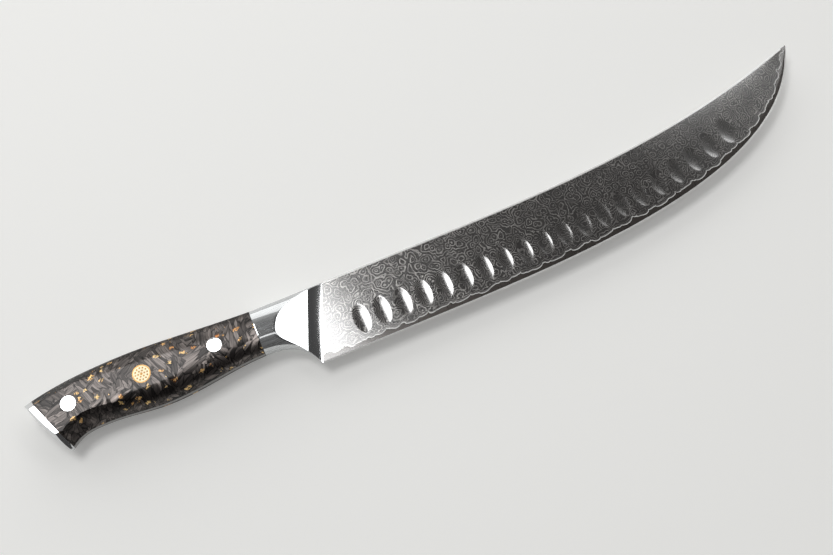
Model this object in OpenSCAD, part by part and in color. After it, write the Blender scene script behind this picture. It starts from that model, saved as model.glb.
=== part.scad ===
// Curved carving knife, lying on its side: a layered steel blade with a row of hollows on each face,
// a forged bolster, a full tang between two handle scales, three pins and a steel butt cap.
// X runs from the handle to the tip, Y from the edge to the spine, Z out of the left side.
// The origin lies in the middle plane, on the line of the pins, where the blade's spine starts.

/* [Blade outline] */
// Distance along X from the start of the spine to the tip
blade_reach = 235.5; // [200:0.5:270]
// Height of the blade at the heel
blade_h = 33.8; // [30:0.2:38]
// Height of the spine above the line of the pins
spine_y = 10.6; // [10:0.1:12]
// How far the heel sits behind the start of the spine
heel_back = 12.6; // [9:0.1:15]
// Rise of the tip above the straight part of the spine
tip_rise = 22.8; // [14:0.2:30]
// Straight length of the spine before it sweeps up
spine_straight = 46; // [30:1:60]
// Length of the spine curve's first handle
spine_pull = 73; // [60:1:80]
// Length of the spine curve's handle at the tip
spine_tip_pull = 65; // [50:1:70]
// Angle at which the spine arrives at the tip
spine_tip_angle = 18; // [10:0.5:24]
// Straight length of the edge in front of the heel
edge_straight = 42.6; // [30:0.2:50]
// Length of the edge curve's first handle
edge_pull = 80.6; // [70:0.2:90]
// Length of the edge curve's handle at the tip
edge_tip_pull = 61; // [50:1:66]
// Angle at which the edge arrives at the tip
edge_tip_angle = 69; // [60:0.5:74]

/* [Blade section] */
// Thickness of the spine at the bolster
spine_t = 2.6; // [2.2:0.1:3]
// Thickness of the spine at the tip
tip_t = 1.2; // [1:0.05:1.6]
// Power of the spine's taper along the blade, where 1 is even
spine_taper = 1.4; // [1:0.1:2]
// Thickness just above the edge bevel
edge_t = 0.4; // [0.3:0.02:0.5]
// Thickness of the cutting edge itself
apex_t = 0.06; // [0.04:0.01:0.1]
// Height of the edge bevel
bevel_h = 0.7; // [0.6:0.1:1.4]
// Power of the convex grind from spine to edge, where 1 is flat
grind = 1.6; // [1.3:0.05:1.8]
// Thickness of the hard core layer
core_t = 0.52; // [0.4:0.02:0.6]
// Least thickness of the cladding, at its lower border
clad_lip = 0.02; // [0.01:0.01:0.05]
// Height of bare core above the edge, up to the mean line of the cladding
core_show = 3; // [2.6:0.1:3.6]
// Height of the waves along the cladding's lower border
wave_h = 0.8; // [0:0.1:1]
// Number of waves along the border
wave_count = 27; // [12:1:30]

/* [Hollows] */
// Number of hollows on each face
hollow_count = 20; // [8:1:21]
// Place of the first hollow along X
hollow_start = 9.9; // [8:0.1:14]
// Spacing of the hollows along X
hollow_pitch = 9.56; // [8:0.02:9.6]
// Length of a hollow across the blade
hollow_l = 13.4; // [10:0.1:14]
// Width of a hollow
hollow_w = 6.8; // [5:0.1:7.6]
// Depth of a hollow where the cladding is thick enough
hollow_d = 0.28; // [0.15:0.01:0.3]
// Most of the cladding's thickness that a hollow may take
hollow_bite = 0.8; // [0.5:0.05:0.9]
// Height of the hollows' middle above the edge
hollow_rise = 11.7; // [10.5:0.1:13]
// Share of the edge's slope that each hollow turns by
hollow_turn = 0.4; // [0:0.05:1]

/* [Bolster] */
// Length of the bolster from the handle joint to the start of the spine
bolster_l = 34; // [30:0.5:38]
// Height of the handle and bolster at their joint
joint_h = 20; // [18:0.2:21]
// Thickness of the handle and bolster at their joint
joint_t = 15; // [13:0.2:16.4]
// Width of the hollow ramp between the sloping cheek and the blade
ramp_w = 6.2; // [5:0.1:8]
// Thickness of the bolster where the cheek meets the ramp
cheek_t = 4.2; // [3.6:0.1:5.4]
// Length of the flat cheek, square to its front line
cheek_l = 12.2; // [10:0.1:16]
// Length of the finger notch's straight start at the joint
notch_pull = 12; // [8:0.5:14]
// Distance in front of the joint where the notch turns down
notch_turn = 18; // [15:0.5:20]
// Drop of the notch where it turns down
notch_drop = 4.6; // [3:0.2:6]
// Roundness of the bolster and the grip, where 2 is an ellipse
roundness = 2.7; // [2.2:0.1:3.2]
// Roundness of the bolster at the blade, where its back and its notch are more rounded over
front_roundness = 1.8; // [1.6:0.1:2.8]

/* [Handle] */
// Length of the scales along the line of the pins
scale_l = 94.6; // [85:0.2:110]
// Slant of the joint between scales and butt cap
butt_slant = 22.8; // [15:0.2:28]
// Height of the control point that swells the back behind the bolster
back_swell = 11; // [10:0.2:13]
// Height of the control point that lifts the back's hump
back_hump = 17.4; // [14:0.2:19]
// Height of the back at the butt
back_end = 8.4; // [7:0.2:10]
// Distance from the joint to the fullest part of the belly
belly_at = 44; // [38:1:50]
// Depth of the belly below the line of the pins
belly_y = 13.8; // [12.5:0.1:15]
// Distance of the waist in front of the butt cap's joint
waist_back = 22.6; // [19:0.2:28]
// Depth of the waist below the line of the pins
waist_y = 11.8; // [11:0.1:13]
// Distance of the beak in front of the butt cap's joint
beak_back = 6.1; // [2:0.1:9]
// Depth of the beak below the line of the pins
beak_y = 16.7; // [15:0.1:19]
// Thickness across the flats of the handle
handle_t = 18; // [16.6:0.2:20]
// Swell of the grip's section beyond its flats
crown = 0.35; // [0.2:0.05:0.6]
// Distance from the joint to where the grip reaches its full thickness
full_at = 46; // [36:1:60]
// Width of the upper facet at the butt
upper_facet = 5.4; // [4:0.2:6.4]
// Width of the lower facet at the butt
lower_facet = 6.8; // [5:0.2:8]
// Distance from the joint to where the facets start to show
facet_from = 44; // [36:1:60]
// Thickness of the tang
tang_t = 2.6; // [2:0.1:3]
// Height of the tang's neck inside the bolster
neck_h = 12; // [8:0.5:14]
// Length of the tang's neck inside the bolster
neck_l = 16; // [10:0.5:18]
// Clearance between the tang's neck and the bolster
neck_fit = 0.05; // [0.02:0.01:0.1]

/* [Butt cap] */
// Thickness of the cap at its middle
cap_t = 4; // [3:0.1:6]
// Radius of the cap's rounded end
cap_r = 80; // [50:1:120]
// Radius of the cap's end across its thickness
cap_dome = 26; // [18:0.5:40]
// Height of the fullest point of the cap's end above the line of the pins
cap_mid = 2; // [0:0.5:4]

/* [Pins] */
// Diameter of the two plain pins
pin_d = 6.5; // [5:0.1:8]
// Distance from the joint to the front pin
front_pin_at = 18.2; // [14:0.2:22]
// Distance of the rear pin in front of the butt cap's joint
rear_pin_back = 11.6; // [8:0.2:14]
// Diameter of the mosaic pin, midway between the plain pins
mosaic_d = 7.8; // [6:0.1:9]
// Wall of the mosaic pin's tube
tube_wall = 0.5; // [0.3:0.05:0.6]
// Diameter of the rod at the middle of the mosaic
center_rod_d = 1.2; // [0.6:0.1:1.4]
// Diameter of the small rods round it
rod_d = 0.8; // [0.4:0.05:0.9]
// Number of rods in the inner ring
inner_rods = 6; // [4:1:6]
// Radius of the inner ring
inner_ring = 1.35; // [1.2:0.05:1.5]
// Number of rods in the outer ring
outer_rods = 12; // [8:1:14]
// Radius of the outer ring
outer_ring = 2.6; // [2.4:0.05:2.8]
// Glue gap round each pin
pin_fit = 0.03; // [0.02:0.01:0.08]

/* [Hidden] */
$fn = 48;

blade_stations = 80;
clad_rows = 5;
grip_stations = 26;
bolster_stations = 14;
half_ring = 14;
ridge = 6;
reach = 400;
slant = atan(heel_back / blade_h);
edge_y = spine_y - blade_h;
spine_start = [0, spine_y];
heel = [-heel_back, edge_y];
tip = [blade_reach, spine_y + tip_rise];
spine_bend = [spine_straight, spine_y];
edge_bend = [edge_straight - heel_back, edge_y];
joint_x = -bolster_l;
seam_x = joint_x - scale_l;
bend_at = 0.18;
clad_end = 0.975;
core_end = 0.995;
pin_pitch = (scale_l - front_pin_at - rear_pin_back) / 2;
pin_xs = [for (i = [0 : 2]) joint_x - front_pin_at - i * pin_pitch];
waist_at = scale_l - waist_back;
beak_at = scale_l - beak_back;
butt_at = scale_l + cap_t + back_end * tan(butt_slant);
grip_end = butt_at + cap_t / 2;
grip_rise = handle_t / 2 + crown - joint_t / 2;
neck_taper = grip_rise * (PI / 2) / full_at;
cheek_rear = -ramp_w - cheek_l - heel_back / 2;
tang_stations = 40;
facet_steps = 4;
facet_lip = 1.6;
neck_root = 1;
ripple = 2.286;
ripple_share = 0.5;
edge_share = 0.5;
ramp_follow = 0.8;
nudge = 0.004;
probe = 0.02;

// A point on a cubic curve with four control points
function curve(p, t) =
    pow(1 - t, 3) * p[0] + 3 * pow(1 - t, 2) * t * p[1] + 3 * (1 - t) * t * t * p[2] + pow(t, 3) * p[3];

// A smooth step from a to b as t goes from 0 to 1, and level outside that
function ease(a, b, t) = a + (b - a) * (1 - cos(180 * min(1, max(0, t)))) / 2;

// The spine and the edge as u runs from the bolster to the tip: a straight stretch, then a curve
function spine(u) =
    u < bend_at
        ? spine_start + (spine_bend - spine_start) * u / bend_at
        : curve([
            spine_bend,
            spine_bend + [spine_pull, 0],
            tip - spine_tip_pull * [cos(spine_tip_angle), sin(spine_tip_angle)],
            tip
        ], (u - bend_at) / (1 - bend_at));
function edge(u) =
    u < bend_at
        ? heel + (edge_bend - heel) * u / bend_at
        : curve([
            edge_bend,
            edge_bend + [edge_pull, 0],
            tip - edge_tip_pull * [cos(edge_tip_angle), sin(edge_tip_angle)],
            tip
        ], (u - bend_at) / (1 - bend_at));
function height(u) = norm(edge(u) - spine(u));

// Share of the height, from the spine down, at a given distance above the edge. Towards the tip,
// where the blade is lower than twice the bare core, the distance shrinks with the height.
function share_above_edge(u, rise) = 1 - min(rise / height(u), edge_share * rise / core_show);
function bevel_share(u) = share_above_edge(u, bevel_h);

// The cladding's border: one wave with a finer one laid over it
function waves(u) = sin(360 * wave_count * u) + ripple_share * sin(360 * ripple * wave_count * u);
function border_share(u) = share_above_edge(u, core_show + wave_h * waves(u) / (1 + ripple_share));

// Half the blade's thickness at a share s of the height below the spine
function spine_half(u) = (tip_t + (spine_t - tip_t) * (1 - pow(u, spine_taper))) / 2;
function blade_half(u, s) =
    edge_t / 2 + (spine_half(u) - edge_t / 2) * (1 - pow(min(1, s / bevel_share(u)), grind));
function clad_half(u, s) = max(blade_half(u, s), core_t / 2 + clad_lip);

// A point of the blade's face
function blade_point(u, s, z) = [each spine(u) + (edge(u) - spine(u)) * s, z];

// The station u whose line from spine to edge passes through p, found by halving
function station(p, low = 0, high = 1, steps = 22) =
    let (
        u = (low + high) / 2,
        s = (spine(u)[1] - p[1]) / (spine(u)[1] - edge(u)[1]),
        x = spine(u)[0] + (edge(u)[0] - spine(u)[0]) * s
    )
    steps == 0 ? u : x < p[0] ? station(p, u, high, steps - 1) : station(p, low, u, steps - 1);

// The station on the edge at a given x, found by halving
function edge_station(x, low = 0, high = 1, steps = 22) =
    let (u = (low + high) / 2)
    steps == 0 ? u : edge(u)[0] < x ? edge_station(x, u, high, steps - 1) : edge_station(x, low, u, steps - 1);

// The middle of a ring of points
function middle(ring) = [for (p = ring) 1] * ring / len(ring);

// A closed solid through rings of points that all have the same count
module skin(rings) {
    n = len(rings[0]);
    last = (len(rings) - 1) * n;
    hub = len(rings) * n;
    sides = [
        for (i = [0 : len(rings) - 2], j = [0 : n - 1])
            let (a = i * n + j, b = i * n + (j + 1) % n)
            each [[a, b + n, b], [a, a + n, b + n]]
    ];
    ends = [
        for (j = [0 : n - 1])
            let (k = (j + 1) % n)
            each [[j, k, hub], [last + k, last + j, hub + 1]]
    ];
    polyhedron(
        points = [for (r = rings) each r, middle(rings[0]), middle(rings[len(rings) - 1])],
        faces = concat(sides, ends),
        convexity = 6
    );
}

// The core layer: level faces under the cladding, then bare down to the bevel and the edge
function core_ring(u) =
    let (
        k = core_t / 2,
        b = border_share(u),
        v = bevel_share(u),
        down = [[0, k], [b, k], [v, edge_t / 2], [1, apex_t / 2]]
    )
    concat(
        [for (q = down) blade_point(u, q[0], q[1])],
        [for (i = [3 : -1 : 0]) blade_point(u, down[i][0], -down[i][1])]
    );

module blade_core() {
    color("#8d8b88")
    skin([for (i = [0 : blade_stations]) core_ring(core_end * i / blade_stations)]);
}

// One cladding layer on the left of the core, from the spine to the waved border
function clad_ring(u) =
    let (b = border_share(u))
    concat(
        [for (j = [0 : clad_rows]) blade_point(u, b * j / clad_rows, clad_half(u, b * j / clad_rows))],
        [blade_point(u, b, core_t / 2), blade_point(u, 0, core_t / 2)]
    );

// A hollow is the mark of a wheel whose rim is rounded: a slice of a ring, laid on the face
module hollow_tool(depth) {
    wheel = (pow(hollow_l / 2, 2) + pow(depth, 2)) / (2 * depth);
    rim = (pow(hollow_w / 2, 2) + pow(depth, 2)) / (2 * depth);
    sweep = 4 * asin(hollow_l / 2 / wheel);
    skirt = 8 * depth;
    translate([0, 0, wheel - depth])
    rotate([0, 90, 0])
    rotate([0, 0, -sweep / 2])
    rotate_extrude(angle = sweep, $fn = 720)
    translate([wheel - rim, 0])
    intersection() {
        circle(rim, $fn = 240);
        translate([rim - skirt, -rim])
        square([2 * skirt, 2 * rim]);
    }
}

// Hollow i: its place on the face, the face's fall there, the turn of the edge and its depth
module hollow(i) {
    x = hollow_start + i * hollow_pitch;
    on_edge = edge_station(x);
    ahead = edge(on_edge + nudge) - edge(on_edge - nudge);
    slope = atan2(ahead[1], ahead[0]);
    middle = edge(on_edge) + [0, hollow_rise];
    u = station(middle);
    s = (spine(u)[1] - middle[1]) / (spine(u)[1] - edge(u)[1]);
    fall = atan((blade_half(u, s - probe) - blade_half(u, s + probe)) / (2 * probe * height(u)));
    depth = min(hollow_d, hollow_bite * (blade_half(u, s) - core_t / 2));
    translate([middle[0], middle[1], blade_half(u, s)])
    rotate([0, 0, slope * hollow_turn])
    rotate([fall, 0, 0])
    hollow_tool(depth);
}

module cladding() {
    difference() {
        skin([for (i = [0 : blade_stations]) clad_ring(clad_end * i / blade_stations)]);
        for (i = [0 : hollow_count - 1])
            hollow(i);
    }
}

module cladding_left() {
    color("#6e6f70")
    cladding();
}

module cladding_right() {
    color("#6e6f70")
    mirror([0, 0, 1])
    cladding();
}

// The finger notch under the bolster, from the joint to the heel
notch = [
    [joint_x, -joint_h / 2],
    [joint_x + notch_pull, -joint_h / 2],
    [joint_x + notch_turn, -joint_h / 2 - notch_drop],
    heel
];
function notch_t(x, low = 0, high = 1, steps = 22) =
    let (t = (low + high) / 2)
    steps == 0 ? t : curve(notch, t)[0] < x ? notch_t(x, t, high, steps - 1) : notch_t(x, low, t, steps - 1);
function bolster_low(x) = x < -heel_back ? curve(notch, notch_t(x))[1] : edge_y;
function bolster_top(x) = joint_h / 2 + (spine_y - joint_h / 2) * (x - joint_x) / bolster_l;

// Half the bolster's thickness, which narrows forward at the slope with which the grip meets it
function bolster_half(x) = joint_t / 2 - neck_taper * (x - joint_x);
function bolster_round(x) =
    roundness + (front_roundness - roundness) * (x - joint_x) / bolster_l;

// A rounded ring across the handle: top and low are its outline, half its half thickness
function round_point(k, top, low, half, round = roundness) =
    let (
        a = ridge + (180 - 2 * ridge) * k / half_ring,
        c = cos(a) / cos(ridge),
        n = 2 / round
    )
    [(top + low) / 2 + (top - low) / 2 * sign(c) * pow(abs(c), n), half * pow(sin(a), n)];
function both_sides(x, side) =
    concat(
        [for (k = [0 : half_ring]) [x, side[k][0], side[k][1]]],
        [for (k = [half_ring : -1 : 0]) [x, side[k][0], -side[k][1]]]
    );
function round_ring(x, top, low, half, round) =
    both_sides(x, [for (k = [0 : half_ring]) round_point(k, top, low, half, round)]);

module bolster_body() {
    step = bolster_l / bolster_stations;
    skin([
        for (i = [0 : bolster_stations])
            let (x = joint_x + i * step)
            round_ring(x, bolster_top(x), bolster_low(x), bolster_half(x), bolster_round(x))
    ]);
}

// Lays children along the slanted end of the blade: x is square to that line, y runs up it
module on_slant() {
    translate([0, spine_y, 0])
    rotate([0, 0, -slant])
    children();
}

// What is cut from the left side: the flat sloping cheek, and the hollow ramp down to the blade
module cheek_and_ramp() {
    wedge = atan(ramp_follow * (spine_t - edge_t) / 2 / blade_h);
    drop = (cheek_t - spine_t) / 2;
    ramp_r = (ramp_w * ramp_w + drop * drop) / (2 * drop);
    slope = atan((bolster_half(cheek_rear) - cheek_t / 2) / cheek_l);
    on_slant()
    rotate([wedge, 0, 0])
    union() {
        translate([-ramp_w, 0, cheek_t / 2])
        rotate([0, slope, 0])
        translate([-2 * bolster_l, -2 * blade_h, 0])
        cube([2 * bolster_l, 3 * blade_h, joint_t]);
        translate([0, -blade_h / 2, spine_t / 2 + ramp_r])
        rotate([90, 0, 0])
        cylinder(r = ramp_r, h = 3 * blade_h, center = true);
    }
}

module bolster() {
    color("#c9cbcd")
    difference() {
        bolster_body();
        on_slant()
        translate([0, -2 * blade_h, -joint_t])
        cube([2 * bolster_l, 4 * blade_h, 2 * joint_t]);
        cheek_and_ramp();
        mirror([0, 0, 1])
        cheek_and_ramp();
        translate([joint_x + (neck_l + neck_fit) / 2, 0, 0])
        cube([neck_l + neck_fit, neck_h + 2 * neck_fit, tang_t + 2 * neck_fit], center = true);
    }
}

// The handle's back and belly as functions of the distance behind the joint
function back(d) =
    curve([joint_h / 2, back_swell, back_hump, back_end], min(1, d / butt_at));
function belly(d) =
    d < belly_at
        ? ease(-joint_h / 2, -belly_y, d / belly_at)
        : d < waist_at
            ? ease(-belly_y, -waist_y, (d - belly_at) / (waist_at - belly_at))
            : -waist_y - (beak_y - waist_y) * pow(min(1, (d - waist_at) / (beak_at - waist_at)), 3);
function grip_half(d) = joint_t / 2 + grip_rise * sin(90 * min(1, d / full_at));

// Half of the faceted section at the butt: an upper facet, the flat and a lower facet
function facet_point(k, top, low, half) =
    let (
        rest = half_ring - facet_steps,
        high = [top, facet_lip],
        flat_high = [top - upper_facet, half],
        flat_low = [low + lower_facet, half],
        foot = [low, facet_lip]
    )
    k < facet_steps
        ? high + (flat_high - high) * k / facet_steps
        : k < rest
            ? flat_high + (flat_low - flat_high) * (k - facet_steps) / (rest - facet_steps)
            : flat_low + (foot - flat_low) * (k - rest) / facet_steps;

// A ring of the grip: round at the bolster, faceted at the butt
function grip_ring(d) =
    let (
        x = joint_x - d,
        half = grip_half(d),
        top = back(d),
        low = belly(d),
        mix = ease(0, 1, (d - facet_from) / (scale_l - facet_from))
    )
    both_sides(x, [
        for (k = [0 : half_ring])
            round_point(k, top, low, half) * (1 - mix) + facet_point(k, top, low, half) * mix
    ]);

// The whole grip as one body, cut level at its two flats
module grip_body() {
    intersection() {
        skin([for (i = [grip_stations : -1 : 0]) grip_ring(grip_end * i / grip_stations)]);
        cube([reach, reach, handle_t], center = true);
    }
}

// Lays children on the slanted joint between the scales and the butt cap
module on_seam() {
    translate([seam_x, 0, 0])
    rotate([0, 0, butt_slant])
    children();
}

module behind_seam() {
    on_seam()
    translate([-reach / 2, -reach / 2, -reach / 2])
    cube([reach / 2, reach, reach]);
}

module pin_rod(i, d) {
    translate([pin_xs[i], 0, 0])
    cylinder(d = d, h = 2 * handle_t, center = true);
}

module pin_holes() {
    pin_rod(0, pin_d + 2 * pin_fit);
    pin_rod(1, mosaic_d + 2 * pin_fit);
    pin_rod(2, pin_d + 2 * pin_fit);
}

module scale() {
    difference() {
        grip_body();
        behind_seam();
        translate([-reach / 2, -reach / 2, tang_t / 2 - reach])
        cube([reach, reach, reach]);
        pin_holes();
    }
}

module scale_left() {
    color("#2b2a2b")
    scale();
}

module scale_right() {
    color("#2b2a2b")
    mirror([0, 0, 1])
    scale();
}

module tang() {
    depths = [for (i = [0 : tang_stations]) grip_end * i / tang_stations];
    color("#a9abad")
    difference() {
        union() {
            linear_extrude(tang_t, center = true)
            difference() {
                polygon(concat(
                    [for (d = depths) [joint_x - d, back(d)]],
                    [for (i = [tang_stations : -1 : 0]) [joint_x - depths[i], belly(depths[i])]]
                ));
                translate([seam_x, 0])
                rotate(butt_slant)
                translate([-reach / 2, -reach / 2])
                square([reach / 2, reach]);
            }
            translate([joint_x + (neck_l - neck_root) / 2, 0, 0])
            cube([neck_l + neck_root, neck_h, tang_t], center = true);
        }
        pin_holes();
    }
}

module butt_cap() {
    color("#d2d4d6")
    intersection() {
        grip_body();
        behind_seam();
        on_seam()
        translate([cap_r - cap_t, cap_mid, 0])
        rotate_extrude($fn = 360)
        translate([cap_r - cap_dome, 0])
        circle(cap_dome, $fn = 180);
    }
}

module front_pin() {
    color("#dfe1e3")
    intersection() {
        pin_rod(0, pin_d);
        grip_body();
    }
}

module rear_pin() {
    color("#dfe1e3")
    intersection() {
        pin_rod(2, pin_d);
        grip_body();
    }
}

module mosaic_tube() {
    color("#b8924a")
    intersection() {
        difference() {
            pin_rod(1, mosaic_d);
            pin_rod(1, mosaic_d - 2 * tube_wall);
        }
        grip_body();
    }
}

// The rods of the mosaic, all through the handle
module rod_ring(count, radius) {
    for (i = [0 : count - 1])
        rotate([0, 0, 360 * i / count])
        translate([radius, 0, 0])
        cylinder(d = rod_d, h = 2 * handle_t, center = true);
}

module center_rod() {
    cylinder(d = center_rod_d, h = 2 * handle_t, center = true);
}

module at_mosaic() {
    intersection() {
        translate([pin_xs[1], 0, 0])
        children();
        grip_body();
    }
}

module mosaic_resin() {
    color("#e0cf9a")
    at_mosaic()
    difference() {
        cylinder(d = mosaic_d - 2 * tube_wall, h = 2 * handle_t, center = true);
        center_rod();
        rod_ring(inner_rods, inner_ring);
        rod_ring(outer_rods, outer_ring);
    }
}

module mosaic_center_rod() {
    color("#4a2f1c")
    at_mosaic()
    center_rod();
}

module mosaic_inner_rods() {
    color("#6a4526")
    at_mosaic()
    rod_ring(inner_rods, inner_ring);
}

module mosaic_outer_rods() {
    color("#6a4526")
    at_mosaic()
    rod_ring(outer_rods, outer_ring);
}

blade_core();
cladding_left();
cladding_right();
bolster();
tang();
scale_left();
scale_right();
butt_cap();
front_pin();
rear_pin();
mosaic_tube();
mosaic_resin();
mosaic_center_rod();
mosaic_inner_rods();
mosaic_outer_rods();
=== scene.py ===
"""A curved carving knife: layered steel blade with hollows, forged bolster, pinned handle and butt cap.

Lengths are in metres, X runs from the handle to the tip, Y from the edge to the spine, Z out of the
left side. The origin lies in the middle plane, on the line of the pins, where the spine starts.
"""

import functools
import math

import bmesh
import bpy
import numpy as np
from bpy.props import FloatProperty, FloatVectorProperty, IntProperty, PointerProperty
from mathutils import Matrix, Vector


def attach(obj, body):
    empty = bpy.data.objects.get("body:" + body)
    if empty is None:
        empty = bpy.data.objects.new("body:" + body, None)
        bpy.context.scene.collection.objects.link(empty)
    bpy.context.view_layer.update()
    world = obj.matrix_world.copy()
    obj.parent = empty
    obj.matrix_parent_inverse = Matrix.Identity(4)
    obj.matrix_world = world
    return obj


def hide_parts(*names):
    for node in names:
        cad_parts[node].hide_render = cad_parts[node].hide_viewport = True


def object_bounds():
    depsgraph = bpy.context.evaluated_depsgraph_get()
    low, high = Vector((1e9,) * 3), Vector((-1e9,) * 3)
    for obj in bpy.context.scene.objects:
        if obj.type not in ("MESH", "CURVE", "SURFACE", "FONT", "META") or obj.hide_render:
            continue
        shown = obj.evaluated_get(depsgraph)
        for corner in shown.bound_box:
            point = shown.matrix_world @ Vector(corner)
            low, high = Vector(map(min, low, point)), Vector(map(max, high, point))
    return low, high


bl_info = {
    "name": "Carving Knife",
    "version": (1, 0, 0),
    "blender": (4, 5, 0),
    "location": "3D View > Sidebar > Carving Knife",
    "description": "Builds a layered steel carving knife piece by piece, with its finishes and a studio",
    "category": "Add Mesh",
}

MM = 0.001

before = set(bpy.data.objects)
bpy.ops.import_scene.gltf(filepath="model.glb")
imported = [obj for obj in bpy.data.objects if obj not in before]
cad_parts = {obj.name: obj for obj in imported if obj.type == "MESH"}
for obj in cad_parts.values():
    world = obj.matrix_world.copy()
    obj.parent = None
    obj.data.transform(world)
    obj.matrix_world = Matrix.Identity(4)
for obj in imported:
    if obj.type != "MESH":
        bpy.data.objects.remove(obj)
CAD_BOX = [list(corner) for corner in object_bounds()]


def linear(text):
    """A hex sRGB colour as linear red, green and blue: the sRGB curve undone for each channel."""
    parts = [int(text[i : i + 2], 16) / 255 for i in (1, 3, 5)]
    return tuple(c / 12.92 if c <= 0.04045 else ((c + 0.055) / 1.055) ** 2.4 for c in parts)


def length(label, about, default):
    """A length property, given in millimetres and kept in metres."""
    return FloatProperty(name=label, description=about, default=default * MM, unit="LENGTH", precision=5)


def angle(label, about, default):
    """An angle property, given in degrees and kept in radians."""
    return FloatProperty(name=label, description=about, default=math.radians(default), unit="ROTATION")


def share(label, about, default, high=1.0):
    """A plain number from 0 to high."""
    return FloatProperty(name=label, description=about, default=default, min=0.0, max=high)


def colour(label, about, default):
    """A colour property from a hex sRGB colour."""
    return FloatVectorProperty(
        name=label, description=about, default=linear(default), subtype="COLOR", size=3, min=0.0, max=1.0
    )


class BladeSizes(bpy.types.PropertyGroup):
    """Outline and section of the blade."""

    reach: length("Reach", "Along X from the start of the spine to the tip", 235.5)
    high: length("Height", "Height of the blade at the heel", 33.8)
    spine_y: length("Spine", "Height of the spine above the line of the pins", 10.6)
    heel_back: length("Heel set-back", "How far the heel sits behind the start of the spine", 12.6)
    tip_rise: length("Tip rise", "Rise of the tip above the straight part of the spine", 22.8)
    spine_straight: length("Straight spine", "Straight length of the spine", 46)
    spine_pull: length("Spine pull", "First handle of the spine's curve", 73)
    spine_tip_pull: length("Spine tip pull", "Last handle of the spine's curve", 65)
    spine_tip_angle: angle("Spine tip angle", "Angle at which the spine meets the tip", 18)
    edge_straight: length("Straight edge", "Straight length of the edge in front of the heel", 42.6)
    edge_pull: length("Edge pull", "First handle of the edge's curve", 80.6)
    edge_tip_pull: length("Edge tip pull", "Last handle of the edge's curve", 61)
    edge_tip_angle: angle("Edge tip angle", "Angle at which the edge meets the tip", 69)
    spine_t: length("Spine thickness", "Thickness of the spine at the bolster", 2.6)
    tip_t: length("Tip thickness", "Thickness of the spine at the tip", 1.2)
    spine_taper: share("Spine taper", "Power of the spine's taper", 1.4, 3)
    edge_t: length("Edge thickness", "Thickness just above the edge bevel", 0.4)
    apex_t: length("Apex", "Thickness of the cutting edge itself", 0.06)
    bevel_h: length("Bevel", "Height of the edge bevel", 0.7)
    grind: share("Grind", "Power of the convex grind", 1.6, 3)
    core_t: length("Core", "Thickness of the hard core layer", 0.52)
    core_show: length("Bare core", "Height of bare core above the edge", 3)
    wave_h: length("Border waves", "Height of the waves along the cladding's border", 1.15)
    wave_along: length("Border wander", "How far the border wanders along the edge", 2.0)
    wave_count: IntProperty(name="Waves", description="Number of waves along the border", default=27)
    chamfer: length("Eased spine", "Radius of the spine's eased and polished corners", 0.5)


class HollowSizes(bpy.types.PropertyGroup):
    """The row of hollows ground into each face."""

    count: IntProperty(name="Count", description="Number of hollows on each face", default=20)
    start: length("Start", "Place of the first hollow along X", 9.9)
    pitch: length("Pitch", "Spacing of the hollows along X", 9.56)
    long: length("Length", "Length of a hollow across the blade", 13.4)
    wide: length("Width", "Width of a hollow", 6.8)
    deep: length("Depth", "Depth of a hollow where the cladding allows it", 0.28)
    bite: share("Bite", "Most of the cladding's thickness that a hollow may take", 0.8)
    rise: length("Rise", "Height of the hollows' middle above the edge", 11.7)
    turn: share("Turn", "Share of the edge's slope that each hollow turns by", 0.4)


class BolsterSizes(bpy.types.PropertyGroup):
    """The forged bolster."""

    long: length("Length", "From the handle joint to the start of the spine", 34)
    joint_h: length("Joint height", "Height of the handle and bolster at their joint", 20)
    joint_t: length("Joint thickness", "Thickness of the handle and bolster at their joint", 15)
    ramp_w: length("Ramp", "Width of the hollow ramp between cheek and blade", 6.2)
    cheek_t: length("Cheek thickness", "Thickness where the cheek meets the ramp", 4.2)
    cheek_l: length("Cheek length", "Length of the flat cheek, square to its front line", 12.2)
    notch_pull: length("Notch start", "Straight start of the finger notch", 12)
    notch_turn: length("Notch turn", "Where the notch turns down, in front of the joint", 18)
    notch_drop: length("Notch drop", "Drop of the notch where it turns down", 4.6)
    ramp_follow: share("Ramp follow", "Share of the blade's taper that the ramp follows", 0.8)
    front_roundness: share("Front roundness", "Roundness of the section at the blade", 1.8, 6)


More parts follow.
